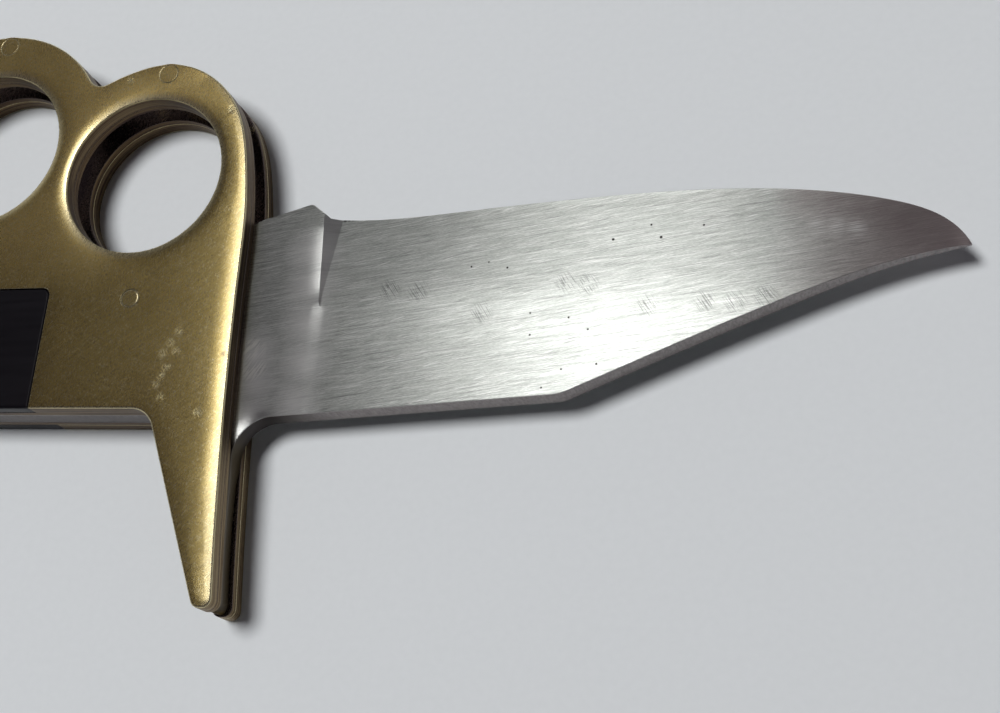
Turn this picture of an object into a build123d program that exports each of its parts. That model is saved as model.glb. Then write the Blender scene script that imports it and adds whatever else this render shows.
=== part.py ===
from build123d import *
import os

# A folding clip-point knife with a two-plate brass handle that carries four finger rings.
# Frame, in millimetres: the knife lies flat with its blade open along +X and its rings towards +Y.
# +Z goes up through the handle. The pivot axis passes through the origin, and z = 0 is the outer face
# of the rear plate. "Front" is the upper side, "rear" the lower one.

# ---- thicknesses, from the rear face to the front face --------------------------------------------
PLATE_T = 2.4                 # outer knuckle plate
LINER_T = 1.2                 # liner behind each plate
GAP_T = 3.6                   # space between the liners, for blade and spring
BLADE_T = 3.5                 # blade, at its flats
HANDLE_T = 2 * (PLATE_T + LINER_T) + GAP_T
MID_Z = HANDLE_T / 2
GAP_Z = PLATE_T + LINER_T
FRONT_LINER_Z = GAP_Z + GAP_T
FRONT_PLATE_Z = FRONT_LINER_Z + LINER_T

# ---- handle outline -------------------------------------------------------------------------------
BACK_Y = -16.9                # straight back of the handle, where the spring shows
BUTT_X = -122.0
BUTT_TOP_X = -104.0           # the butt's top edge starts here, beside ring four
BUTT_TOP_Y = 9.5
BUTT_ROUND = 10.0
FINGER_R = 12.8               # wall radius of every finger hole
RING_CENTRES = [(-1.6, 20.3), (-30.3, 26.1), (-59.4, 25.4), (-87.8, 18.4)]
RING_OUTER_R = [19.95, 19.8, 18.6]            # rings two to four
SADDLES = [(-12.8, 35.6), (-44.8, 39.8), (-73.5, 39.3)]
SADDLE_R = 2.5                # hollow between two rings
BUTT_SADDLE_R = 4.0
GUARD_TIP_Y = -44.9
GUARD_TIP_LEFT_X = 17.2
GUARD_TIP_RIGHT_X = 20.0
GUARD_TIP_ROUND = 1.3
GUARD_ROOT_X = 5.8            # where the guard's slanted inner edge meets the back
GUARD_ROOT_R = 4.0
FRONT_EDGE_WAIST = (17.7, -17.5)
RING_1_FOOT = (16.6, 10.0)    # the front edge turns into the first ring here
RING_1_ROUND = [(15.5, 20.5), (11.1, 32.9), (0.3, 39.1), (-8.0, 37.4), (-14.5, 33.5)]
RING_1_END = (-1.0, -0.8)     # direction in which its outline runs out into ring two
PLATE_EDGE_R = 1.1            # rounding of the plate's outer edge
HOLE_EDGE_R = 0.7             # rounding of the finger holes' outer edge
MARGIN = 5.0                  # how far a cutting outline reaches past the handle's edge
TOLERANCE = 0.01              # for telling edges apart

# ---- scale and its window -------------------------------------------------------------------------
SCALE_RIGHT_X = -13.6
SCALE_LEFT_X = -96.0
SCALE_TOP_Y = 2.0
SCALE_CORNER_R = 1.3
SCALE_GAP = 0.08              # hairline between scale and window
SCALE_T = 2.3
SCALE_CHAMFER = 0.35

# ---- pins -----------------------------------------------------------------------------------------
PIVOT_PIN_R = 1.5
PIVOT_CLEARANCE = 0.05
SPRING_PIN_R = 1.25
SPRING_PIN_Y = -14.6
SPRING_PIN_XS = {"spring_pin_middle": -50.0, "spring_pin_butt": -110.0}
RIVET_R = 1.5
RIVET_PLACES = [(0.0, 37.3), (-29.6, 44.2), (-58.8, 43.3), (-91.0, 34.8)]
SCALE_PIN_R = 1.0
SCALE_PIN_PLACES = [(-34.0, -5.0), (-64.0, -5.0), (-90.0, -5.0)]

# ---- blade ----------------------------------------------------------------------------------------
CLOSED_ANGLE = 176.0          # turn about the pivot that brings the kick onto the spring
TANG_R = 7.3                  # cam radius of the tang about the pivot
TANG_FLAT = 6.9               # distance of its two flats, one for open and one for closed
TANG_FLAT_WIDTH = 5.4
STEP_X = 4.1                  # shoulder of the tang that stops against the spring's end
STEP_TOP_Y = 6.02             # the shoulder's line runs up to here, inside the cam
TANG_TOP = (11.5, 10.3)       # the tang's upper edge passes here
LUG_INSET = 0.2               # guard lug, inside the guard plates' outline
LUG_ROOT = (6.2, -16.7)
LUG_ROOT_R = 2.4
SPINE_ROOT = (18.1, -17.4)    # where the straight spine would meet the lug
SPINE_ROOT_R = 5.5
CLIP_CORNER = (65.0, -13.75)
CLIP_CORNER_R = 6.0
TIP = (118.4, 7.1)
CLIP_POINTS = [(107.0, 4.3), (94.2, -0.7), (80.3, -6.8)]
BELLY_POINTS = [(35.5, 13.65), (49.4, 14.6), (68.0, 16.0), (84.0, 16.55), (97.0, 15.9), (108.0, 14.0),
                (115.0, 11.1)]
RICASSO_TOP = [(18.0, 13.7), (20.0, 14.2)]
KICK = (25.4, 15.9)
KICK_FOOT = (28.3, 13.7)
KICK_R = 0.9
HEEL = (30.0, 13.8)           # the sharpened edge starts here
GRIND_LINE_Y = 0.3            # where the blade's flat turns into the bevel
EDGE_HALF_T = 0.2
PLUNGE_X = 28.0
BEVEL_START_X = 30.2
BEVEL_SHARES = [0.15, 0.35, 0.55, 0.72, 0.85, 0.93, 0.975, 1.0]   # sections along the sharpened edge
BEVEL_MARGIN = 3.0

# ---- backspring -----------------------------------------------------------------------------------
NOSE_X = 4.0
NOSE_Y = -7.45
SPRING_THIN_Y = -14.15        # inner face where the kick comes to rest
SPRING_TAIL_Y = -12.3
SPRING_CORNERS = [(-6.5, NOSE_Y), (-19.5, SPRING_THIN_Y), (-41.0, SPRING_THIN_Y),
                  (-46.0, SPRING_TAIL_Y)]
SPRING_CORNER_R = 3.0


def near(shape, x, y):
    """The corner of a flat outline nearest to a place."""
    return shape.vertices().sort_by_distance(Vector(x, y, 0))[0]


def front_edge():
    """The handle's front edge, from the guard's tip up to the foot of ring one."""
    return ThreePointArc((GUARD_TIP_RIGHT_X, GUARD_TIP_Y), FRONT_EDGE_WAIST, RING_1_FOOT)


def handle_outline():
    """Outline shared by plates and liners, without holes."""
    edge = front_edge()
    ring_1 = Spline(RING_1_FOOT, *RING_1_ROUND, tangents=[edge % 1, RING_1_END])
    rest = Polyline(ring_1 @ 1, RING_CENTRES[3], (BUTT_TOP_X, BUTT_TOP_Y), (BUTT_X, BUTT_TOP_Y),
                    (BUTT_X, BACK_Y), (GUARD_ROOT_X, BACK_Y), (GUARD_TIP_LEFT_X, GUARD_TIP_Y),
                    (GUARD_TIP_RIGHT_X, GUARD_TIP_Y))
    outline = make_face([edge, ring_1] + list(rest.edges()))
    for centre, radius in zip(RING_CENTRES[1:], RING_OUTER_R):
        outline += Pos(*centre) * Circle(radius)
    for x, y in SADDLES:
        outline = fillet(near(outline, x, y), SADDLE_R)
    for x, y, radius in [(BUTT_TOP_X, BUTT_TOP_Y, BUTT_SADDLE_R), (BUTT_X, BUTT_TOP_Y, BUTT_ROUND),
                         (BUTT_X, BACK_Y, BUTT_ROUND), (GUARD_ROOT_X, BACK_Y, GUARD_ROOT_R),
                         (GUARD_TIP_LEFT_X, GUARD_TIP_Y, GUARD_TIP_ROUND),
                         (GUARD_TIP_RIGHT_X, GUARD_TIP_Y, GUARD_TIP_ROUND)]:
        outline = fillet(near(outline, x, y), radius)
    return outline


def extrude_at(face, z, thickness):
    """A flat outline made into a plate that starts at height z."""
    return extrude(Pos(0, 0, z) * face, amount=thickness)


def pin(place, radius, z, length):
    """A pin parallel to the pivot, starting at height z."""
    return Pos(place[0], place[1], z + length / 2) * Cylinder(radius, length)


def finger_holes():
    """The four finger holes as flat discs."""
    return Sketch() + [Pos(*centre) * Circle(FINGER_R) for centre in RING_CENTRES]


def window(gap, foot_y):
    """The plate's opening for the scale, smaller all round by gap, down to foot_y."""
    right, left, top = SCALE_RIGHT_X - gap, SCALE_LEFT_X + gap, SCALE_TOP_Y - gap
    face = make_face(Polyline((left, foot_y), (left, top), (right, top), (right, foot_y), close=True))
    for x in (left, right):
        face = fillet(near(face, x, top), SCALE_CORNER_R)
    return face


def pin_holes(z, length, with_scale_pins):
    """Holes for the pins that pass through a plate or a liner, as one cutting tool."""
    tool = pin((0, 0), PIVOT_PIN_R, z, length)
    for x in SPRING_PIN_XS.values():
        tool += pin((x, SPRING_PIN_Y), SPRING_PIN_R, z, length)
    for place in RIVET_PLACES:
        tool += pin(place, RIVET_R, z, length)
    if with_scale_pins:
        for place in SCALE_PIN_PLACES:
            tool += pin(place, SCALE_PIN_R, z, length)
    return tool


def rounded_plate(outline):
    """The front plate before its window and pin holes are cut, with its outer edges rounded."""
    plate = extrude_at(outline, FRONT_PLATE_Z, PLATE_T)
    rim = plate.edges().group_by(Axis.Z)[-1]
    plate = fillet(rim, PLATE_EDGE_R)
    plate -= extrude_at(finger_holes(), FRONT_PLATE_Z, PLATE_T)
    hole_rims = [edge for edge in plate.edges().filter_by(GeomType.CIRCLE)
                 if abs(edge.radius - FINGER_R) < TOLERANCE and edge.center().Z > HANDLE_T - TOLERANCE]
    return fillet(hole_rims, HOLE_EDGE_R)


def liner(outline):
    """The front liner: the whole outline, with finger holes and pin holes."""
    face = outline - finger_holes()
    return extrude_at(face, FRONT_LINER_Z, LINER_T) - pin_holes(FRONT_LINER_Z, LINER_T, True)


def scale():
    """The front scale, let into the plate's window, with its upper edges bevelled."""
    slab = extrude_at(window(SCALE_GAP, BACK_Y), FRONT_PLATE_Z, SCALE_T)
    slab = chamfer(slab.edges().group_by(Axis.Z)[-1], SCALE_CHAMFER)
    return slab - pin_holes(FRONT_PLATE_Z, SCALE_T, True)


def backspring(outline):
    """The backspring: a nose under the tang, a thin arm for the kick, and a thicker tail."""
    face = make_face(Polyline((NOSE_X, BACK_Y - MARGIN), (NOSE_X, NOSE_Y), *SPRING_CORNERS,
                              (BUTT_X - MARGIN, SPRING_TAIL_Y), (BUTT_X - MARGIN, BACK_Y - MARGIN),
                              close=True))
    for x, y in SPRING_CORNERS:
        face = fillet(near(face, x, y), SPRING_CORNER_R)
    strip = extrude_at(face & outline, GAP_Z, GAP_T)
    for x in SPRING_PIN_XS.values():
        strip -= pin((x, SPRING_PIN_Y), SPRING_PIN_R, GAP_Z, GAP_T)
    return strip


def belly():
    """The sharpened edge, from the heel to the tip."""
    return Spline(HEEL, *BELLY_POINTS, TIP)


def blade_outline():
    """Blade, tang and guard lug in one outline, with the blade open."""
    lug_edge = Pos(-LUG_INSET, LUG_INSET) * front_edge()
    lug_tip = lug_edge @ 0
    ricasso = Polyline(*RICASSO_TOP, KICK, KICK_FOOT, HEEL)
    clip = Spline(TIP, *CLIP_POINTS, CLIP_CORNER)
    lug_side = ThreePointArc(SPINE_ROOT, lug_edge.position_at(0.25), lug_tip)
    foot = Polyline(lug_tip, (GUARD_TIP_LEFT_X + LUG_INSET, lug_tip.Y), LUG_ROOT,
                    (STEP_X, LUG_ROOT[1]), (STEP_X, STEP_TOP_Y))
    tang_top = ThreePointArc((STEP_X, STEP_TOP_Y), TANG_TOP, RICASSO_TOP[0])
    face = make_face(list(ricasso.edges()) + [belly(), clip, Line(CLIP_CORNER, SPINE_ROOT), lug_side,
                                              tang_top] + list(foot.edges()))
    face += Circle(TANG_R)
    for angle in (-90.0, 270.0 - CLOSED_ANGLE):
        beyond_flat = Pos(TANG_FLAT, 0) * Rectangle(TANG_R, TANG_FLAT_WIDTH, align=(Align.MIN, Align.CENTER))
        face -= Rot(0, 0, angle) * beyond_flat
    for x, y, radius in [(*SPINE_ROOT, SPINE_ROOT_R), (*CLIP_CORNER, CLIP_CORNER_R),
                         (*KICK, KICK_R), (*LUG_ROOT, LUG_ROOT_R),
                         (lug_tip.X, lug_tip.Y, GUARD_TIP_ROUND),
                         (GUARD_TIP_LEFT_X, lug_tip.Y, GUARD_TIP_ROUND)]:
        face = fillet(near(face, x, y), radius)
    return face - Circle(PIVOT_PIN_R + PIVOT_CLEARANCE)


def bevel_section(x, edge_y, depth):
    """Across the blade at x: what the grinder takes off above the bevel, at a share of its full depth."""
    half = BLADE_T / 2
    slope = depth * (half - EDGE_HALF_T) / (edge_y - GRIND_LINE_Y)
    outer_y = edge_y + BEVEL_MARGIN
    outer_z = half - slope * (outer_y - GRIND_LINE_Y)
    corners = [(GRIND_LINE_Y, half), (outer_y, outer_z), (outer_y, BLADE_T), (GRIND_LINE_Y, BLADE_T)]
    return Plane.YZ.offset(x) * make_face(Polyline(*corners, close=True))


def blade(outline):
    """The blade, flat by its spine and ground from the grind line to the edge on both sides."""
    steel = extrude_at(outline, MID_Z - BLADE_T / 2, BLADE_T)
    edge = belly()
    sections = [bevel_section(PLUNGE_X, HEEL[1], 0.0), bevel_section(BEVEL_START_X, HEEL[1], 1.0)]
    for share in BEVEL_SHARES:
        place = edge @ share
        sections.append(bevel_section(place.X, place.Y, 1.0))
    sections.append(bevel_section(TIP[0] + BEVEL_MARGIN, TIP[1], 1.0))
    ground = loft(sections, ruled=True)
    front_cut = Pos(0, 0, MID_Z) * ground
    return steel - front_cut - mirror(front_cut, Plane.XY.offset(MID_Z))


def write(name, shape):
    """One file for one piece, named after its node."""
    export_step(shape, f"parts/{name}.step")


def write_pair(name, front_shape):
    """A piece of the front half and its mirror image in the rear half."""
    write(f"front_{name}", front_shape)
    write(f"rear_{name}", mirror(front_shape, Plane.XY.offset(MID_Z)))


os.makedirs("parts", exist_ok=True)
handle = handle_outline()
blank = rounded_plate(handle)
plate_window = extrude_at(window(0.0, BACK_Y - MARGIN), FRONT_PLATE_Z, PLATE_T)

write_pair("knuckle_plate", blank - plate_window - pin_holes(FRONT_PLATE_Z, PLATE_T, False))
write_pair("liner", liner(handle))
write_pair("scale", scale())
for number, spot in enumerate(RIVET_PLACES, start=1):
    head = pin(spot, RIVET_R, FRONT_PLATE_Z, PLATE_T) & blank
    shank = pin(spot, RIVET_R, FRONT_LINER_Z, LINER_T)
    write_pair(f"ring_rivet_{number}", head + shank)
for number, spot in enumerate(SCALE_PIN_PLACES, start=1):
    write_pair(f"scale_pin_{number}", pin(spot, SCALE_PIN_R, FRONT_LINER_Z, LINER_T + SCALE_T))

write("blade", blade(blade_outline()))
write("backspring", backspring(handle))
write("pivot_pin", pin((0, 0), PIVOT_PIN_R, 0, HANDLE_T))
for name, x in SPRING_PIN_XS.items():
    write(name, pin((x, SPRING_PIN_Y), SPRING_PIN_R, 0, HANDLE_T))
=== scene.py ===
import math

import bmesh
import bpy
import numpy as np
from mathutils import Matrix, Vector
from mathutils.geometry import delaunay_2d_cdt


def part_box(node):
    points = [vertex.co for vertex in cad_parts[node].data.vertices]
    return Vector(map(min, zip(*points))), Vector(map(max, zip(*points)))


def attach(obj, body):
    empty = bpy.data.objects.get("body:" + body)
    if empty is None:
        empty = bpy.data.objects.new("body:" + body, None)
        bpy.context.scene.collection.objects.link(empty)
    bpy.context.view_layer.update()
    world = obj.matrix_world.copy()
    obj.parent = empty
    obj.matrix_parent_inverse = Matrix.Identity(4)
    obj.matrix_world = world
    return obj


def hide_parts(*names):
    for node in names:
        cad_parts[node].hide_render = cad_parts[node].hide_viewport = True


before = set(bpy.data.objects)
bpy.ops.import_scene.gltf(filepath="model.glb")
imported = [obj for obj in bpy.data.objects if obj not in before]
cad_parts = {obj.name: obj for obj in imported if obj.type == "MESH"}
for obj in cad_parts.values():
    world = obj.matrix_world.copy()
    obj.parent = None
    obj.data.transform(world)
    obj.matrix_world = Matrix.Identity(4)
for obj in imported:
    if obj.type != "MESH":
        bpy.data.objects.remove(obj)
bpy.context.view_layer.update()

# Shapes are worked out in millimetres, in the row frame, and turned into metres as meshes are made.
MM = 0.001
blade_low, blade_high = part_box("blade")
MID_Z = (blade_low.z + blade_high.z) / 2 / MM


# ---- outlines, read from the CAD nodes ------------------------------------------------------------

def node_span(node):
    """Lowest and highest corner of a CAD node, in millimetres."""
    low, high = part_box(node)
    return low / MM, high / MM


def by_place(vert):
    return vert.co.x, vert.co.y


def outline_loops(node, z):
    """The closed outlines of a CAD node at height z, as arrays of x and y, the longest first."""
    bm = bmesh.new()
    bm.from_mesh(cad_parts[node].data)
    bmesh.ops.scale(bm, vec=(1 / MM,) * 3, verts=bm.verts)
    bmesh.ops.remove_doubles(bm, verts=bm.verts, dist=1e-4)
    everything = bm.verts[:] + bm.edges[:] + bm.faces[:]
    cut = bmesh.ops.bisect_plane(bm, geom=everything, plane_co=(0, 0, z), plane_no=(0, 0, 1), dist=1e-5)
    edges = {part for part in cut["geom_cut"] if isinstance(part, bmesh.types.BMEdge)}
    loops = []
    while edges:
        # A set of mesh edges has another order on each run, so each outline starts at its leftmost edge.
        edge = min(edges, key=lambda part: sorted(map(by_place, part.verts)))
        edges.remove(edge)
        start, at = sorted(edge.verts, key=by_place)
        loop = [start.co.xy.copy(), at.co.xy.copy()]
        while at is not start:
            edge = next(e for e in at.link_edges if e in edges)
            edges.remove(edge)
            at = edge.other_vert(at)
            loop.append(at.co.xy.copy())
        loops.append(np.array(loop[:-1]))
    bm.free()
    return sorted(loops, key=loop_length, reverse=True)


def loop_length(loop):
    return np.linalg.norm(np.roll(loop, -1, 0) - loop, axis=1).sum()


def signed_area(loop):
    after = np.roll(loop, -1, 0)
    return (loop[:, 0] * after[:, 1] - loop[:, 1] * after[:, 0]).sum() / 2


def evenly_spaced(loop, step):
    """The same closed outline with its points a constant step apart."""
    closed = np.vstack([loop, loop[:1]])
    along = np.r_[0, np.cumsum(np.linalg.norm(np.diff(closed, axis=0), axis=1))]
    count = max(24, round(along[-1] / step))
    places = np.arange(count) / count * along[-1]
    return np.c_[np.interp(places, along, closed[:, 0]), np.interp(places, along, closed[:, 1])]


def inward(loop):
    """Unit directions from each point of a loop into the material, which lies to the loop's left."""
    ahead = np.roll(loop, -1, 0) - loop
    ahead /= np.linalg.norm(ahead, axis=1)[:, None]
    along = ahead + np.roll(ahead, 1, 0)
    along /= np.linalg.norm(along, axis=1)[:, None]
    return np.c_[-along[:, 1], along[:, 0]]


def prepared(loops, step):
    """Evenly spaced loops, the outer one anticlockwise and the holes clockwise."""
    made = []
    for index, loop in enumerate(loops):
        loop = evenly_spaced(loop, min(step, loop_length(loop) / 40))
        if (signed_area(loop) > 0) != (index == 0):
            loop = loop[::-1]
        made.append(loop)
    return made


def smooth(x, low, high):
    """0 below low, 1 above high, and a smooth ramp between."""
    t = np.clip((x - low) / (high - low), 0, 1)
    return t * t * (3 - 2 * t)


# ---- solids with rounded rims ---------------------------------------------------------------------

RIM_STEPS = 6
SUPPORT = 0.06       # a narrow ring of face beside each rim, which keeps the shading of the face clean
NARROWEST_RIM = 0.02
FACE_RINGS = (0.03, 0.15, 0.3, 0.5, 0.75, 1)     # as shares of how far the rings reach into the face
RING_CLEARANCE = 0.12                            # between the innermost ring and the points inside it
GRID_JITTER = 0.013                              # keeps grid points off the outline and its rings


def inside(points, loops):
    """Which points lie in the material, by the even-odd rule."""
    crossings = np.zeros(len(points), int)
    for loop in loops:
        for (x0, y0), (x1, y1) in zip(loop, np.roll(loop, -1, 0)):
            spans = (y0 > points[:, 1]) != (y1 > points[:, 1])
            if spans.any():
                at = x0 + (points[spans, 1] - y0) / (y1 - y0) * (x1 - x0)
                crossings[spans] += points[spans, 0] < at
    return crossings % 2 == 1


def edge_distance(points, loops):
    """How far each point is from the nearest outline point."""
    outline = np.vstack(loops)
    return np.array([np.sqrt(((outline - point) ** 2).sum(1).min()) for point in points])


def grid_points(loops, spacing, clear):
    """A grid of points inside the outline, none nearer to it than the clear distance."""
    low, high = loops[0].min(0), loops[0].max(0)
    xs = np.arange(low[0], high[0], spacing)
    ys = np.arange(low[1], high[1], spacing)
    points = np.stack(np.meshgrid(xs, ys), -1).reshape(-1, 2)
    points[::2, 0] += GRID_JITTER
    points[1::2, 0] -= GRID_JITTER
    points = points[inside(points, loops)]
    return points[edge_distance(points, loops) > clear]


def rim_room(loop, loops):
    """The radius of the largest disc inside the outline that touches it at each point of a loop."""
    into = inward(loop)
    others = np.vstack(loops)
    room = np.empty(len(loop))
    for index, (point, normal) in enumerate(zip(loop, into)):
        apart = others - point
        distance = (apart ** 2).sum(1)
        depth = apart @ normal
        near = (depth > 1e-4) & (distance > 1e-3)
        room[index] = (distance[near] / (2 * depth[near])).min() if near.any() else 99.0
    return room


def gentle(run, loop):
    """Rim widths made to change gently along the loop, without growing anywhere."""
    climb = 0.6 * np.linalg.norm(np.roll(loop, -1, 0) - loop, axis=1).mean()
    for _ in range(24):
        run = np.minimum(run, np.minimum(np.roll(run, 1), np.roll(run, -1)) + climb)
    return run


def eased(values, passes):
    """Values along a closed loop, smoothed."""
    for _ in range(passes):
        values = (np.roll(values, 1) + 2 * values + np.roll(values, -1)) / 4
    return values


def make_mesh(name, verts, faces, sharp_degrees):
    """A mesh object in metres, smooth except at sharp edges, with a UV map laid flat over X and Y."""
    mesh = bpy.data.meshes.new(name)
    mesh.from_pydata([tuple(Vector(v) * MM) for v in verts], [], faces)
    mesh.validate()
    bm = bmesh.new()
    bm.from_mesh(mesh)
    bmesh.ops.recalc_face_normals(bm, faces=bm.faces)
    if bm.calc_volume(signed=True) < 0:
        bmesh.ops.reverse_faces(bm, faces=bm.faces)
    bm.to_mesh(mesh)
    bm.free()
    mesh.shade_smooth()
    mesh.set_sharp_from_angle(angle=math.radians(sharp_degrees))
    layer = mesh.uv_layers.new(name="flat")
    corner_verts = np.zeros(len(mesh.loops), int)
    mesh.loops.foreach_get("vertex_index", corner_verts)
    places = np.array(verts)[corner_verts, :2] / 100
    layer.data.foreach_set("uv", places.astype(np.float32).ravel())
    obj = bpy.data.objects.new(name, mesh)
    bpy.context.scene.collection.objects.link(obj)
    return obj


def rim_rings(loop, side, surface, run, drop, reach):
    """Rings of points from the wall to the face on one side: a quarter of an ellipse, then the face."""
    into = inward(loop)
    rings = []
    for angle in np.linspace(0, math.pi / 2, RIM_STEPS + 1):
        place = loop + into * (run * (1 - math.cos(angle)))[:, None]
        height = surface(loop + into * run[:, None], side) - side * drop * (1 - math.sin(angle))
        rings.append(np.c_[place, height])
    shares = (1,) if reach.max() <= SUPPORT else FACE_RINGS
    for share in shares:
        place = loop + into * (run + share * reach)[:, None]
        rings.append(np.c_[place, surface(place, side)])
    return rings


def rounded_solid(name, loops, surface, rims, extra=None, reach=SUPPORT, sharp_degrees=35):
    """A closed solid between two surfaces over a flat outline, with rounded rims.

    surface(points, side) gives the height of the upper (side 1) or lower (side -1) face, and
    rims(loop, side) the width and the drop of the rim at each point. extra are more points for
    the two faces, reach is how far in from the rim the face has rings of its own, and edges
    sharper than sharp_degrees are shaded as creases."""
    verts, faces = [], []
    borders = {1: [], -1: []}
    for loop in loops:
        rings = []
        room = rim_room(loop, loops)
        for side in (-1, 1):
            run, drop = rims(loop, side)
            widest = np.maximum(0.8 * room - SUPPORT, NARROWEST_RIM)
            run = gentle(np.clip(run, NARROWEST_RIM, widest), loop)
            flat = gentle(np.clip(0.6 * room - run, SUPPORT, reach), loop)
            stack = rim_rings(loop, side, surface, run, np.minimum(drop, 1.5 * run), flat)
            rings += stack if side == 1 else stack[::-1]
        count = len(loop)
        base = len(verts)
        for ring in rings:
            verts.extend(ring.tolist())
        for step in range(len(rings) - 1):
            for i in range(count):
                j = (i + 1) % count
                a, b = base + step * count, base + (step + 1) * count
                faces.append((a + i, a + j, b + j, b + i))
        borders[-1].append((base, rings[0]))
        borders[1].append((base + (len(rings) - 1) * count, rings[-1]))
    for side in (-1, 1):
        faces += face_triangles(verts, borders[side], surface, side, extra)
    return make_mesh(name, verts, faces, sharp_degrees)


def face_triangles(verts, borders, surface, side, extra):
    """Triangles that close one face between its border rings, through the extra points."""
    flat, edges, index = [], [], []
    rings = [ring[:, :2].astype(np.float32).astype(float) for start, ring in borders]
    for start, ring in borders:
        first = len(flat)
        flat.extend(ring[:, :2].tolist())
        index.extend(range(start, start + len(ring)))
        edges.extend((first + i, first + (i + 1) % len(ring)) for i in range(len(ring)))
    if extra is not None:
        extra = extra[inside(extra, rings)]
        extra = extra[edge_distance(extra, rings) > RING_CLEARANCE]
        for point, height in zip(extra, surface(extra, side)):
            index.append(len(verts))
            flat.append(point.tolist())
            verts.append([*point, height])
    result = delaunay_2d_cdt([Vector(p) for p in flat], edges, [], 0, 1e-6)
    source = [index[origin[0]] for origin in result[3]]
    triangles = np.array(result[2])
    places = np.array([tuple(place) for place in result[0]])
    kept = triangles[inside(places[triangles].mean(1), rings)]
    return [[source[v] for v in (corners if side == 1 else corners[::-1])] for corners in kept]


def level(low, high):
    """Surface function of a plain slab."""
    return lambda points, side: np.full(len(points), high if side == 1 else low)


def even_rims(radius):
    """Rim function with the same round edge everywhere."""
    return lambda loop, side: (np.full(len(loop), radius),) * 2


def mirrored(obj, name):
    """A copy of a front piece, mirrored to the rear half."""
    mesh = obj.data.copy()
    mesh.transform(Matrix.Translation((0, 0, 2 * MID_Z * MM)) @ Matrix.Scale(-1, 4, (0, 0, 1)))
    mesh.flip_normals()
    twin = bpy.data.objects.new(name, mesh)
    bpy.context.scene.collection.objects.link(twin)
    return twin


def stands_for(obj, node, body):
    """The piece takes the place of a CAD node, on that node's body."""
    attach(obj, body)
    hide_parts(node)


# ---- materials ------------------------------------------------------------------------------------

class Shading:
    """A node material and short ways to add to it."""

    def __init__(self, name):
        self.material = bpy.data.materials.new(name)
        self.material.use_nodes = True
        self.tree = self.material.node_tree
        self.shader = self.tree.nodes["Principled BSDF"]
        coordinates = self.add("ShaderNodeTexCoord")
        self.place = coordinates.outputs["Object"]
        self.normal = coordinates.outputs["Normal"]

    def add(self, kind, inputs=None, **settings):
        """A new node, with its settings and its inputs, which are links or values."""
        node = self.tree.nodes.new(kind)
        for key, value in settings.items():
            setattr(node, key, value)
        for key, value in (inputs or {}).items():
            self.feed(node.inputs[key], value)
        return node

    def feed(self, socket, value):
        if isinstance(value, bpy.types.NodeSocket):
            self.tree.links.new(value, socket)
        else:
            socket.default_value = value

    def math(self, operation, a, b=0.0):
        return self.add("ShaderNodeMath", {0: a, 1: b}, operation=operation).outputs[0]

    def mapped(self, angle, stretch, offset=(0, 0, 0)):
        """Object coordinates turned by an angle in degrees about Z, then stretched, per metre."""
        turned = self.add("ShaderNodeMapping", {"Vector": self.place,
                                                "Rotation": (0, 0, math.radians(-angle))})
        return self.add("ShaderNodeMapping", {"Vector": turned.outputs[0], "Scale": stretch,
                                              "Location": offset}).outputs[0]

    def noise(self, vector, detail=2.0, roughness=0.5):
        return self.add("ShaderNodeTexNoise", {"Vector": vector, "Scale": 1.0, "Detail": detail,
                                               "Roughness": roughness}).outputs["Fac"]

    def flatness(self, low, high):
        """0 on the side walls and 1 on the flat faces."""
        return self.ramp(self.math("ABSOLUTE", self.xyz(self.normal)[2]), low, high)

    def ramp(self, value, low, high, out_low=0.0, out_high=1.0):
        return self.add("ShaderNodeMapRange", {"Value": value, "From Min": low, "From Max": high,
                                               "To Min": out_low, "To Max": out_high}).outputs[0]

    def ramp_mm(self, value, low, high, out_low=0.0, out_high=1.0):
        """A ramp over a place in metres, between limits in millimetres."""
        return self.ramp(value, low * MM, high * MM, out_low, out_high)

    def mix(self, share, a, b):
        node = self.add("ShaderNodeMix", data_type="RGBA")
        self.feed(node.inputs[0], share)
        self.feed(node.inputs[6], a)
        self.feed(node.inputs[7], b)
        return node.outputs[2]

    def streaks(self, angle, length, width, low, high, seed):
        """Fine scratches: 1 on a scratch. Length and width are in millimetres."""
        vector = self.mapped(angle, (1 / (length * MM), 1 / (width * MM), 1.0), (seed, seed * 1.7, seed))
        return self.ramp(self.noise(vector, detail=0.0), low, high)

    def streak_sets(self, sets, seed=0.0):
        """Several sets of streaks together, with one more seed for all of them."""
        made = [self.streaks(*values[:5], values[5] + seed) for values in sets]
        return self.most(*made)

    def near(self, spots, radius, soft):
        """1 close to any of the spots, given as x and y in millimetres, and 0 away from them."""
        flattened = {0: self.place, 1: (1, 1, 0)}
        flat = self.add("ShaderNodeVectorMath", flattened, operation="MULTIPLY").outputs[0]
        nearest = None
        for x, y in spots:
            ends = {0: flat, 1: (x * MM, y * MM, 0)}
            away = self.add("ShaderNodeVectorMath", ends, operation="DISTANCE").outputs["Value"]
            nearest = away if nearest is None else self.math("MINIMUM", nearest, away)
        return self.ramp(nearest, radius * MM, (radius + soft) * MM, 1.0, 0.0)

    def bump(self, height, distance):
        """A bumped normal, with the distance in metres."""
        inputs = {"Height": height, "Distance": distance, "Strength": 1.0}
        return self.add("ShaderNodeBump", inputs).outputs[0]

    def times(self, a, b):
        return self.math("MULTIPLY", a, b)

    def plus(self, a, b):
        return self.math("ADD", a, b)

    def most(self, *values):
        """The highest of several values."""
        highest = values[0]
        for value in values[1:]:
            highest = self.math("MAXIMUM", highest, value)
        return highest

    def paint(self, share, colour):
        """Lays a colour over the tone, by a share from 0 to 1."""
        self.tone = self.mix(share, self.tone, colour)

    def xyz(self, vector):
        return self.add("ShaderNodeSeparateXYZ", {0: vector}).outputs


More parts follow.
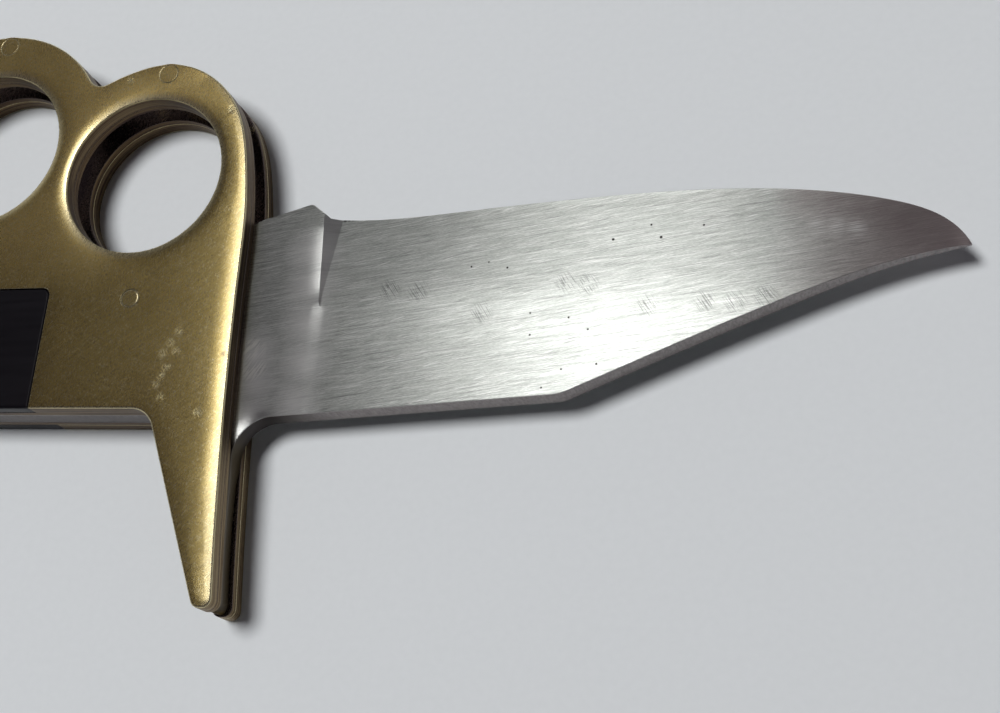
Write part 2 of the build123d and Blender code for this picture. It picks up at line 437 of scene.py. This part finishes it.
def darker(colour, share):
    return tuple(share * part for part in colour[:3]) + (1,)


# Streaks are listed as angle, length, width, the noise's low and high, and seed.
BRASS = (0.51, 0.388, 0.148, 1)
BRASS_BRIGHT = (0.90, 0.68, 0.26, 1)
BRASS_PALE = (0.90, 0.83, 0.58, 1)
BRASS_CUT = (1.0, 0.88, 0.50, 1)
BRASS_NICK = (0.14, 0.09, 0.04, 1)
# the side walls are darker than the faces: tarnish and painted shade
BRASS_WALL = (0.19, 0.135, 0.075, 1)
BRASS_SEAM = (0.05, 0.03, 0.022, 1)
# painted light: a lighter wall colour for the guard
LIT_GUARD_WALL = (0.34, 0.26, 0.15, 1)
LINER_WALL = (0.17, 0.115, 0.06, 1)
# painted shade: the liners between the plates are dark
LINER_IN_SHADE = (0.15, 0.12, 0.11, 1)
PIN_BRASS = (0.50, 0.39, 0.16, 1)
MOTTLE = 0.68            # the darkest mottling of the brass, as a share of its colour
RINGS_BRIGHTER_X = (3, -7)     # the brass is brighter on the rings than on the grip, from here to here
RINGS_BRIGHTER_Y = (0, 10)
LIT_GUARD_Y = (-19, -26)     # painted light makes the guard's walls lighter, from here down
# the brass is brighter around these spots
BRIGHTER_SPOTS = ((3, 35), (-4, 34.5), (-10, 30.5))
NICKED = ((16.4, -8.7), (11.5, 30.2))
SCRATCHED = ((8.9, -5.3), (7.9, -7), (6.9, -8.6), (9, -8.3), (7.8, -10.7), (7.2, -12), (6.6, -13.3),
             (7.7, -15.2), (13.8, -17.5), (11.6, 30.6), (-6.4, 36.6))
BRASS_SCRATCHES = ((62, 2.0, 0.09, 0.72, 0.80, 3.1), (-24, 2.5, 0.09, 0.73, 0.80, 7.7),
                   (80, 1.2, 0.10, 0.71, 0.80, 5.2))
BRASS_CUTS = ((48, 1.6, 0.16, 0.55, 0.60, 9.9), (-50, 1.1, 0.16, 0.56, 0.61, 15.1))
BRASS_RELIEF = 0.0035 * MM


def brass_material(name, base=BRASS, wall=BRASS_WALL, pale=BRASS_PALE, bright=BRASS_BRIGHT, seed=0.0):
    """Hand-polished brass with fine crossing scratches, rims painted paler as wear and painted
    highlight, and side walls painted darker as tarnish and painted shade.
    """
    s = Shading(name)
    x, y, _ = s.xyz(s.place)
    offset = (seed, 0, 0)
    cloud = s.ramp(s.noise(s.mapped(0, (90, 90, 90), offset), detail=4), 0.3, 0.7)
    grain = s.noise(s.mapped(70, (2200, 8000, 1200), offset), detail=3)
    brushed = s.noise(s.mapped(38, (350, 5200, 500), offset), detail=3)
    specks = s.ramp(s.noise(s.mapped(0, (3300, 3300, 3300), offset), detail=0), 0.68, 0.78, 0, 0.35)
    scratches = s.streak_sets(BRASS_SCRATCHES, seed)
    cuts = s.times(s.streak_sets(BRASS_CUTS), s.near(SCRATCHED, 0.35, 0.5))

    shade = s.plus(s.times(cloud, 0.6), s.ramp(grain, 0.3, 0.7, 0, 0.3))
    shade = s.plus(shade, s.ramp(brushed, 0.3, 0.7, -0.2, 0.6))
    s.tone = s.mix(shade, darker(base, MOTTLE), base)
    # the rings are brighter than the grip
    s.paint(s.times(s.ramp_mm(x, *RINGS_BRIGHTER_X), s.ramp_mm(y, *RINGS_BRIGHTER_Y, 0, 0.62)), bright)
    # brighter around the listed spots
    s.paint(s.times(s.near(BRIGHTER_SPOTS, 2.0, 8.0), 0.85), bright)
    s.paint(s.most(specks, s.times(scratches, 0.4)), pale)
    s.paint(s.times(s.times(s.near(NICKED, 0.25, 0.4), s.ramp(grain, 0.3, 0.45)), 0.85), BRASS_NICK)
    s.paint(cuts, BRASS_CUT)

    seams = s.ramp(s.noise(s.mapped(0, (60, 60, 5000)), detail=3), 0.42, 0.58)
    # painted light: the guard's walls are lighter, and their seams fade
    guard = s.ramp_mm(y, *LIT_GUARD_Y, 0, 0.8)
    walls = s.mix(seams, s.mix(guard, BRASS_SEAM, wall), s.mix(guard, wall, LIT_GUARD_WALL))
    # side walls take the darker wall colours: tarnish and painted shade
    s.tone = s.mix(s.flatness(0.15, 0.45), walls, s.tone)
    # painted highlight with wear: gently rolled rims, where the highlight falls, are painted paler
    worn = s.times(s.flatness(0.2, 0.4), s.flatness(0.9975, 0.98))
    s.paint(s.times(worn, 0.6), pale)
    s.feed(s.shader.inputs["Base Color"], s.tone)
    s.shader.inputs["Metallic"].default_value = 1.0
    rough = s.plus(s.ramp(cloud, 0, 1, 0.29, 0.25), s.ramp(grain, 0.3, 0.7, -0.03, 0.04))
    rough = s.plus(rough, s.ramp(s.flatness(0.2, 0.75), 0, 1, 0.2, 0.0))
    s.feed(s.shader.inputs["Roughness"], rough)
    height = s.math("SUBTRACT", s.times(grain, 0.6), s.times(scratches, 0.1))
    height = s.math("SUBTRACT", height, s.times(cuts, 3.0))
    s.feed(s.shader.inputs["Normal"], s.bump(height, BRASS_RELIEF))
    return s.material


STEEL = (0.565, 0.588, 0.552, 1)
STEEL_WORN = (0.41, 0.43, 0.40, 1)
# painted shade for the side walls
STEEL_WALL = (0.33, 0.305, 0.305, 1)
STEEL_PALE = (0.92, 0.92, 0.89, 1)
STEEL_SCORED = (0.15, 0.15, 0.145, 1)
# painted shade for steeply sloping faces such as the plunge wall
STEEL_FACET_SHADE = (0.25, 0.21, 0.225, 1)
STEEL_EDGE_TINT = (0.8, 0.77, 0.75, 1)
SPRING = (0.40, 0.40, 0.40, 1)
SPRING_WORN = (0.3, 0.3, 0.3, 1)
SPRING_WALL = (0.19, 0.18, 0.185, 1)
LIGHT_STREAKS = ((10, 5.0, 0.09, 0.64, 0.72, 1.3), (6, 9.0, 0.11, 0.67, 0.74, 4.9),
                 (19, 3.2, 0.09, 0.66, 0.74, 8.8))
DARK_STREAKS = ((8, 6.0, 0.10, 0.64, 0.72, 21.3), (14, 3.6, 0.10, 0.66, 0.74, 33.1))
STEEL_RELIEF = 0.005 * MM


def steel_shading(name, colour=STEEL, worn=STEEL_WORN, wall=STEEL_WALL):
    """Steel ground by hand along its length: reflections spread across the grinding marks."""
    s = Shading(name)
    fine = s.noise(s.mapped(6, (250, 16000, 200)), detail=2, roughness=0.6)
    bands = s.noise(s.mapped(7, (45, 3000, 60)), detail=5, roughness=0.7)
    cloud = s.noise(s.mapped(0, (70, 140, 70)), detail=3)
    grit = s.noise(s.mapped(11, (2200, 9000, 900)), detail=2, roughness=0.6)
    light = s.streak_sets(LIGHT_STREAKS)
    shade = s.plus(s.ramp(bands, 0.3, 0.7, 0, 0.45), s.ramp(cloud, 0.3, 0.7, 0, 0.2))
    shade = s.plus(shade, s.ramp(grit, 0.3, 0.7, -0.3, 0.8))
    s.tone = s.mix(shade, worn, colour)
    s.paint(s.times(light, 0.5), STEEL_PALE)
    s.paint(s.times(s.streak_sets(DARK_STREAKS), 0.45), STEEL_SCORED)
    # painted shade: steeply sloping faces are darker
    s.tone = s.mix(s.flatness(0.75, 0.93), s.mix(0.8, s.tone, STEEL_FACET_SHADE), s.tone)
    s.wall = s.mix(s.ramp(grit, 0.3, 0.7), darker(wall, 0.6), wall)
    # colour of the rims' painted highlight
    s.rim = STEEL_PALE
    s.edge_tint = STEEL_EDGE_TINT
    s.shader.inputs["Metallic"].default_value = 1.0
    s.feed(s.shader.inputs["Roughness"], s.ramp(bands, 0.3, 0.7, 0.35, 0.30))
    s.shader.inputs["Anisotropic"].default_value = 0.72
    s.shader.inputs["Anisotropic Rotation"].default_value = 0.25
    tangent = s.add("ShaderNodeTangent", direction_type="UV_MAP", uv_map="flat").outputs[0]
    s.feed(s.shader.inputs["Tangent"], tangent)
    s.height = s.plus(s.times(fine, 0.3), s.times(light, -0.25))
    return s


def steel_finished(s):
    """Side walls painted darker than the faces as painted shade, rims painted bright as wear and painted
    highlight, and the relief of the marks.
    """
    face = s.flatness(0.15, 0.45)
    # painted shade: side walls take the darker wall colour
    s.tone = s.mix(face, s.wall, s.tone)
    # painted highlight with wear: rims between face and wall are painted pale
    s.paint(s.times(s.times(s.flatness(0.25, 0.45), s.flatness(0.93, 0.85)), 0.3), s.rim)
    s.feed(s.shader.inputs["Base Color"], s.tone)
    s.feed(s.shader.inputs["Specular Tint"], s.mix(face, s.edge_tint, (1, 1, 1, 1)))
    s.feed(s.shader.inputs["Normal"], s.bump(s.height, STEEL_RELIEF))
    return s.material


HATCHES = (-56, 1.8, 0.10, 0.52, 0.62, 12.4)
HATCH_DARK = (0.12, 0.12, 0.115, 1)
HATCHED = ((39, 2), (43.2, 1.7), (52.9, -1.8), (64.8, 2.5), (67.8, 2.1), (76.2, -1.2), (84, -0.7),
           (88.1, -0.8), (92.2, -0.1))
FILE_MARKS = (58, 2.2, 0.25, 0.45, 0.6, 17.7)
FILE_BRIGHT = (0.95, 0.95, 0.88, 1)
FILED = ((19.2, -7), (19.8, -10))
# painted light: spots on the ricasso and by the plunge are painted pale
LIT_SPOTS = ((19.5, -8), (20, -12), (19.6, -16.5), (26.5, -15), (27, -9), (27, -3), (26.8, 3), (26.5, 8))
PITS = ((50.7, 5.4), (53.2, 6.1), (56, 5.1), (60, -2), (65.5, -2.7), (60.2, -5.2), (62.4, -12.8),
        (65, -10.2), (70.8, 9.1), (77.5, 9.2), (83.3, 10.9), (76, 11.2), (69.8, -9.5), (68.3, -4.5))
LARGE_PITS = PITS[8:10]
PIT_DARK = (0.02, 0.015, 0.015, 1)
TIP_X = (92, 116)        # the tip grows browner from here to here
TIP_BROWN = (0.46, 0.35, 0.35, 1)
TARNISHED = ((97, 15.3), (100.2, 13.9), (104.1, 13.3), (107, 12.4), (109.3, 10.9))
TARNISH = (0.28, 0.22, 0.22, 1)
TIP_STREAKS = (8, 4.0, 0.14, 0.45, 0.60, 27.3)
TIP_STREAKED = ((98.5, 10.2), (101, 10.1), (103.5, 9.8))
BURR = ((30.2, 13.75), (30.8, 13.85), (31.4, 13.9))
BURR_DARK = (0.05, 0.05, 0.045, 1)
LUG_SHADE_Y = (-21.5, -19.0)         # painted shade darkens the guard lug below here
LUG_SHADE_FACE = (0.12, 0.105, 0.09, 1)
LUG_SHADE_WALL = (0.09, 0.08, 0.065, 1)
LUG_SHADE_RIM = (0.15, 0.13, 0.10, 1)
LUG_SHADE_TINT = (0.4, 0.35, 0.3, 1)
# painted shade on the wall under the root's curve
ROOT_WALL = ((18.5, -22), (21.5, -18.5))
ROOT_WALL_SHADE = (0.05, 0.045, 0.045, 1)


def blade_material():
    """The blade's steel, with its file marks, pits, brown tip and painted shade on the guard lug."""
    s = steel_shading("blade_steel")
    x, y, _ = s.xyz(s.place)
    s.paint(s.times(s.times(s.streaks(*HATCHES), s.near(HATCHED, 0.8, 1.2)), 0.6), HATCH_DARK)
    s.paint(s.times(s.streaks(*FILE_MARKS), s.near(FILED, 1.0, 1.2)), FILE_BRIGHT)
    # painted light on the ricasso
    s.paint(s.times(s.near(LIT_SPOTS, 0.5, 4.5), 0.75), STEEL_PALE)
    ragged = s.ramp(s.noise(s.mapped(0, (2500, 2500, 2500)), detail=2), 0.35, 0.55, 0.6, 1.6)
    small = s.times(s.near(PITS, 0.05, 0.16), ragged)
    large = s.times(s.near(LARGE_PITS, 0.10, 0.16), ragged)
    s.paint(s.most(small, large), PIT_DARK)
    s.paint(s.ramp_mm(x, *TIP_X, 0.0, 0.7), TIP_BROWN)
    s.paint(s.times(s.near(TARNISHED, 0.5, 4.5), 0.4), TARNISH)
    s.paint(s.times(s.times(s.streaks(*TIP_STREAKS), s.near(TIP_STREAKED, 0.3, 1.6)), 0.75), STEEL_PALE)
    s.paint(s.near(BURR, 0.1, 0.3), BURR_DARK)
    # painted shade on the guard lug and the root, between the plates
    lug_shade = s.ramp_mm(y, *LUG_SHADE_Y, 1.0, 0.0)
    s.paint(lug_shade, LUG_SHADE_FACE)
    # painted shade under the root's curve
    s.wall = s.mix(s.near(ROOT_WALL, 4.6, 6.0), s.wall, ROOT_WALL_SHADE)
    s.wall = s.mix(lug_shade, s.wall, LUG_SHADE_WALL)
    s.rim = s.mix(lug_shade, STEEL_PALE, LUG_SHADE_RIM)
    s.edge_tint = s.mix(lug_shade, s.edge_tint, LUG_SHADE_TINT)
    return steel_finished(s)


SCALE_DARK = (0.0020, 0.0015, 0.0026, 1)
SCALE_LIGHT = (0.0045, 0.0035, 0.0055, 1)
SCALE_RELIEF = 0.006 * MM


def scale_material(name):
    """Black scales with a faint grain along their length."""
    s = Shading(name)
    grain = s.noise(s.mapped(2, (80, 1500, 400)), detail=4)
    s.shader.inputs["Specular IOR Level"].default_value = 0.2
    s.feed(s.shader.inputs["Base Color"], s.mix(grain, SCALE_DARK, SCALE_LIGHT))
    s.feed(s.shader.inputs["Roughness"], s.ramp(grain, 0.3, 0.7, 0.34, 0.46))
    s.feed(s.shader.inputs["Normal"], s.bump(grain, SCALE_RELIEF))
    return s.material


FLOOR_DARK = (0.71, 0.735, 0.75, 1)
FLOOR_LIGHT = (0.75, 0.775, 0.79, 1)
BACKDROP = (0.36, 0.375, 0.385, 1)
BACKDROP_STARTS = 0.7    # metres from the object, where the floor starts to darken
BACKDROP_FULL = 1.7


def floor_material():
    """Pale fibrous paper that darkens towards the backdrop."""
    s = Shading("pale_floor")
    fibre = s.noise(s.mapped(0, (900, 900, 900)), detail=4)
    pale = s.mix(fibre, FLOOR_DARK, FLOOR_LIGHT)
    away = s.add("ShaderNodeVectorMath", {0: s.place}, operation="LENGTH").outputs["Value"]
    backdrop = s.ramp(away, BACKDROP_STARTS, BACKDROP_FULL)
    s.feed(s.shader.inputs["Base Color"], s.mix(backdrop, pale, BACKDROP))
    s.shader.inputs["Specular IOR Level"].default_value = 0.15
    s.shader.inputs["Roughness"].default_value = 0.7
    return s.material


# ---- the handle -----------------------------------------------------------------------------------

POINT_STEP = 0.4         # distance between points along an outline
PIN_HOLE_SIZE = 5        # an outline smaller than this is a pin's hole
FINGER_HOLE_SIZE = 40    # one smaller than this is a finger hole, and a larger one goes round the plate
OUTLINE_RIM = 0.3        # how far the round edges of a plate run in from its outline
FINGER_HOLE_RIM = 0.25
RIVET_HOLE_RIM = 0.16
PIN_HOLE_RIM = 0.05
WINDOW_RIM = 0.07
HIDDEN_RIM = 0.08        # on the side that lies against the liner
RIVET_Y = 15             # the rivets of the rings lie beyond this


def plate_rims(loop, side):
    """Small round edges, crisp around the window of the scale and around the pins."""
    if side == -1:
        return even_rims(HIDDEN_RIM)(loop, side)
    size = np.ptp(loop, axis=0).max()
    if size < PIN_HOLE_SIZE:
        is_rivet = loop[:, 1].mean() > RIVET_Y
        return even_rims(RIVET_HOLE_RIM if is_rivet else PIN_HOLE_RIM)(loop, side)
    if size < FINGER_HOLE_SIZE:
        return even_rims(FINGER_HOLE_RIM)(loop, side)
    run = np.full(len(loop), OUTLINE_RIM)
    low, high = node_span("front_scale")
    by_window = (loop[:, 0] > low.x - 0.4) & (loop[:, 0] < high.x + 0.4) & (loop[:, 1] < high.y + 0.4)
    run[by_window] = WINDOW_RIM
    run = eased(run, 8)
    return run, run


def roll_off(points, line, depth, width):
    """How far a face falls at each point, by the depth at the nearest point of a line."""
    fall = np.zeros(len(points))
    for index, point in enumerate(points):
        squares = ((line - point) ** 2).sum(1)
        nearest = squares.argmin()
        near = 1 - math.sqrt(squares[nearest]) / width
        if near > 0:
            fall[index] = depth[nearest] * near * near
    return fall


def plate_surface(loops, low, high):
    """The outer face rolls off towards its edges: most along the front edge, less at the holes.

    Towards the front edge it is also crowned, more and more gently with the distance."""
    rolls = []
    for loop in loops:
        size = np.ptp(loop, axis=0).max()
        if size > FINGER_HOLE_SIZE:
            facing = -inward(loop)
            front = smooth(facing[:, 0], 0.3, 0.9) * smooth(loop[:, 0], 3, 10)
            rolls.append((loop, eased(0.05 + 0.12 * front, 8), 3.0))
            for depth, width in ((0.07, 6.0), (0.13, 13.0)):
                rolls.append((loop[front > 0.25], np.full((front > 0.25).sum(), depth), width))
            guard = loop[(front > 0.25) & (loop[:, 1] < -15)]
            rolls.append((guard, 0.08 * smooth(-guard[:, 1], 15, 28), 5.0))
        elif size > PIN_HOLE_SIZE:
            rolls.append((loop, np.full(len(loop), 0.20), 2.0))
            rolls.append((loop, np.full(len(loop), 0.09), 5.0))

    def surface(points, side):
        if side == -1:
            return np.full(len(points), low)
        height = np.full(len(points), high)
        for loop, depth, width in rolls:
            height -= roll_off(points, loop, depth, width)
        return height

    return surface


def build_plate():
    low, high = node_span("front_knuckle_plate")
    loops = prepared(outline_loops("front_knuckle_plate", low.z + 0.4), POINT_STEP)
    extra = grid_points(loops, 1.6, 2.0)
    surface = plate_surface(loops, low.z, high.z)
    return rounded_solid("front_knuckle_plate_piece", loops, surface, plate_rims, extra, reach=2.9)


def build_flat(node, rim, step=POINT_STEP):
    """A plain slab over a CAD node's outline, with a fine rim."""
    low, high = node_span(node)
    loops = prepared(outline_loops(node, (low.z + high.z) / 2), step)
    return rounded_solid(node + "_piece", loops, level(low.z, high.z), even_rims(rim))


def paired(front_piece, part, material):
    """Gives a front piece its material and makes its twin at the rear."""
    front_piece.data.materials.append(material)
    rear_piece = mirrored(front_piece, f"rear_{part}_piece")
    stands_for(front_piece, f"front_{part}", "handle")
    stands_for(rear_piece, f"rear_{part}", "handle")


def build_handle():
    plate_brass = brass_material("plate_brass")
    # the liners are painted dark, as painted shade between the plates
    liner_brass = brass_material("liner_brass", base=LINER_IN_SHADE, wall=LINER_WALL, pale=LINER_IN_SHADE,
                                 bright=LINER_IN_SHADE, seed=11.0)
    pin_brass = brass_material("pin_brass", base=PIN_BRASS, seed=23.0)
    paired(build_plate(), "knuckle_plate", plate_brass)
    paired(build_flat("front_liner", 0.12), "liner", liner_brass)
    paired(build_flat("front_scale", 0.35), "scale", scale_material("black_scale"))
    for number in range(1, 5):
        part = f"ring_rivet_{number}"
        paired(build_flat("front_" + part, 0.06), part, pin_brass)
    for number in range(1, 4):
        part = f"scale_pin_{number}"
        paired(build_flat("front_" + part, 0.12), part, pin_brass)
    for node in ("pivot_pin", "spring_pin_middle", "spring_pin_butt"):
        piece = build_flat(node, 0.3)
        piece.data.materials.append(pin_brass)
        stands_for(piece, node, "handle")
    spring = build_flat("backspring", 0.15)
    spring.data.materials.append(steel_finished(steel_shading("spring_steel", SPRING, SPRING_WORN,
                                                              SPRING_WALL)))
    stands_for(spring, "backspring", "handle")


# ---- the blade ------------------------------------------------------------------------------------

GRIND_Y = 0.3            # the flat turns into the bevel here
EDGE_HALF_T = 0.12       # half the thickness left at the sharpened edge
HEEL_X = 31.0            # the sharpened edge starts near here
SHOULDER_WIDTH = 2.0     # the ricasso rounds over this far before the plunge
SHOULDER_DROP = 0.05
ROOT_ROLL = np.array((20.6, -19.2))      # the face falls away towards this corner of the root
ROOT_RIM_DROP = 0.08     # how far the face falls at the edge of the curve between spine and lug
ROOT_RIM_WIDTH = 1.7     # how far in from that curve the face starts to fall
ROOT_CLEARANCE = 2.1     # coarse points keep this far from the curve
TIP_TAPER = 0.5          # how much thinner each side gets towards the tip


def edge_line(loop):
    """The sharpened edge as x and y in rising x."""
    facing = -inward(loop)
    top = loop[(facing[:, 1] > -0.2) & (loop[:, 0] > HEEL_X - 4) & (loop[:, 1] > 6.5)]
    return top[np.argsort(top[:, 0])]


def root_curve(loop):
    """The curve between the spine and the guard lug: its points, and their directions outwards."""
    facing = -inward(loop)
    root = (facing[:, 0] > 0.12) & (loop[:, 0] < 30) & (loop[:, 1] < -14) & (loop[:, 1] > -22)
    return loop[root], facing[root]


def root_points(loop):
    """Rings of points along that curve, where the face falls away."""
    root, facing = root_curve(loop)
    return np.vstack([root - facing * depth for depth in (0.35, 0.65, 1.0, 1.35, 1.75)])


def blade_surface(loop):
    """Height function of the blade: flat by the spine, ground to the edge, with a plunge at the heel."""
    edge = edge_line(loop)
    root, facing = root_curve(loop)
    root_drop = ROOT_RIM_DROP * smooth(facing[:, 0], 0.12, 0.6)
    low, high = node_span("blade")
    half = (high.z - low.z) / 2

    def surface(points, side):
        x, y = points[:, 0], points[:, 1]
        edge_y = np.interp(x, edge[:, 0], edge[:, 1])
        across = (y - GRIND_Y) / np.maximum(edge_y - GRIND_Y, 0.5)
        across = np.clip((across + np.sqrt(across * across + 0.02)) / 2, 0, 1)
        taper = TIP_TAPER * smooth(x, 92, 122)
        bevel = (half - taper - EDGE_HALF_T) * across
        wall_top, wall_foot = plunge_lines(y)
        shoulder = np.clip((x - wall_top + SHOULDER_WIDTH) / SHOULDER_WIDTH, 0, 1) ** 2
        shoulder = np.minimum(SHOULDER_DROP, 0.5 * bevel) * shoulder
        shoulder = shoulder * (1 - smooth(y, 11.4, 12.8)) * smooth(y, 0.5, 3.0)
        wall = np.clip((x - wall_top) / (wall_foot - wall_top), 0, 1)
        from_root = np.sqrt(((points - ROOT_ROLL) ** 2).sum(1))
        roll = 0.30 * np.clip(1 - from_root / 4.2, 0, 1) ** 2 * (side == 1)
        roll += roll_off(points, root, root_drop, ROOT_RIM_WIDTH)
        depth = taper + roll + shoulder * (1 - wall) + bevel * wall
        return MID_Z + side * (half - depth)

    return surface


def plunge_lines(y):
    """Where the plunge wall starts and ends in x, at each height across the blade."""
    low = np.clip((13.0 - y) / 12.0, 0, 1)
    return 27.55 + 0.75 * low, 29.75 - 1.1 * low


def plunge_points():
    """Points laid along the plunge, so that its edges come out straight."""
    rows = []
    for y in np.arange(0.2, 15.6, 0.25):
        top, foot = plunge_lines(y)
        shoulder = top - np.array((3.0, 2.3, 1.8, 1.3, 0.8, 0.4, 0.15))
        wall = top + (foot - top) * np.array((0, 0.08, 0.5, 0.92, 1))
        beyond = foot + np.array((0.08, 0.4, 0.9))
        xs = np.r_[shoulder, wall, beyond]
        rows.append(np.c_[xs, np.full(len(xs), y)])
    return np.vstack(rows)


def blade_rims(loop, side):
    """Crisp spine, thin edge, and a rounded guard lug."""
    facing = -inward(loop)
    lug = smooth(facing[:, 0], 0.3, 0.9) * smooth(-loop[:, 1], 22, 27)
    sharpened = (loop[:, 0] > HEEL_X - 3) & (facing[:, 1] > 0)
    tip = smooth(loop[:, 0], 100, 118)
    run = 0.13 + 1.0 * lug - 0.07 * tip
    run[sharpened] = 0.05
    run = eased(run, 10)
    return run, run


def build_blade():
    loops = prepared(outline_loops("blade", MID_Z), 0.3)
    plunge = plunge_points()
    plunge = plunge[inside(plunge, loops)]
    plunge = plunge[edge_distance(plunge, loops) > 0.25]
    coarse = grid_points(loops, 0.9, 0.5)
    coarse = coarse[~((coarse > plunge.min(0) - 0.3) & (coarse < plunge.max(0) + 0.3)).all(1)]
    narrow_lug = (coarse[:, 1] < -14) & (edge_distance(coarse, loops) < 1.5)
    coarse = coarse[~narrow_lug]
    outline = loops[0]
    root, _ = root_curve(outline)
    coarse = coarse[edge_distance(coarse, [root]) > ROOT_CLEARANCE]
    extra = np.vstack([coarse, plunge, root_points(outline)])
    surface = blade_surface(outline)
    blade = rounded_solid("blade_piece", loops, surface, blade_rims, extra, sharp_degrees=12)
    blade.data.materials.append(blade_material())
    stands_for(blade, "blade", "blade")


# ---- floor, light and camera ----------------------------------------------------------------------

MIDDLE_X = 0.05          # the floor and the lamps are laid out around this place, in metres


def build_floor():
    """A round floor that curves up into a wall all around, like a photographer's sweep."""
    flat, bend, top, segments = 1.2, 0.6, 1.4, 96
    profile = [(flat * share, 0) for share in (0.1, 0.25, 0.5, 0.75, 1)]
    profile += [(flat + bend * math.sin(turn), bend * (1 - math.cos(turn)))
                for turn in np.linspace(0, math.pi / 2, 13)[1:]]
    profile.append((flat + bend, top))
    verts, faces = [(MIDDLE_X, 0, 0)], []
    for radius, height in profile:
        for turn in np.arange(segments) * 2 * math.pi / segments:
            verts.append((MIDDLE_X + radius * math.cos(turn), radius * math.sin(turn), height))
    for i in range(segments):
        j = (i + 1) % segments
        faces.append((0, 1 + i, 1 + j))
        for ring in range(len(profile) - 1):
            a, b = 1 + ring * segments, 1 + (ring + 1) * segments
            faces.append((a + i, b + i, b + j, a + j))
    mesh = bpy.data.meshes.new("floor")
    mesh.from_pydata(verts, [], faces)
    mesh.shade_smooth()
    floor = bpy.data.objects.new("floor", mesh)
    bpy.context.scene.collection.objects.link(floor)
    floor.data.materials.append(floor_material())


def softbox(name, direction, across, along, radiance, glossy=True, diffuse=True):
    """An oval softbox aimed at the blade. Across and along are half its width in X and in Y, seen
    from there, in degrees."""
    distance = 1.6
    way = Vector(direction).normalized()
    data = bpy.data.lights.new(name, "AREA")
    data.shape = "ELLIPSE"
    data.size, data.size_y = (2 * distance * math.tan(math.radians(angle)) for angle in (across, along))
    data.energy = radiance * math.pi * math.pi * data.size * data.size_y / 4
    light = bpy.data.objects.new(name, data)
    side = Vector((0, 1, 0)).cross(way).normalized()
    turn = Matrix((side, way.cross(side), way)).transposed().to_4x4()
    light.matrix_world = Matrix.Translation(Vector((MIDDLE_X, 0, 0)) + way * distance) @ turn
    light.visible_glossy = glossy
    light.visible_diffuse = diffuse
    light.visible_camera = False
    bpy.context.scene.collection.objects.link(light)


def build_lights():
    softbox("lamp", (-0.20, 0.37, 1), 6.3, 10.5, 6.8, diffuse=False)
    softbox("fill", (0.55, 0.45, 0.8), 25, 25, 0.10, diffuse=False)
    softbox("overhead_softbox", (-0.25, 0.09, 1), 9.0, 9.0, 30.6, glossy=False)
    for number, azimuth in enumerate(range(20, 380, 60), 1):
        turn = math.radians(azimuth)
        direction = (math.cos(turn), math.sin(turn), 0.34)
        softbox(f"low_panel_{number}", direction, 8.0, 26.0, 0.5, diffuse=False)
    world = bpy.data.worlds.new("soft_room")
    bpy.context.scene.world = world
    world.use_nodes = True
    background = world.node_tree.nodes["Background"]
    background.inputs["Color"].default_value = (1.0, 0.82, 1.0, 1)
    background.inputs["Strength"].default_value = 0.045


def build_camera():
    data = bpy.data.cameras.new("camera")
    data.sensor_width = 36.0
    data.lens = 55.2
    data.clip_start, data.clip_end = 0.01, 10
    camera = bpy.data.objects.new("camera", data)
    eye = Vector((0.1143, -0.0762, 0.1972))
    aim = Vector((0.05737, -0.00962, 0.0108))
    back = (eye - aim).normalized()
    right = Vector((0.00910, 0.94257, 0.33389)).cross(back).normalized()
    up = back.cross(right)
    camera.matrix_world = Matrix.Translation(eye) @ Matrix((right, up, back)).transposed().to_4x4()
    bpy.context.scene.collection.objects.link(camera)
    bpy.context.scene.camera = camera


build_camera()
build_lights()
build_floor()
build_handle()
build_blade()
bpy.context.scene.view_settings.view_transform = "Standard"
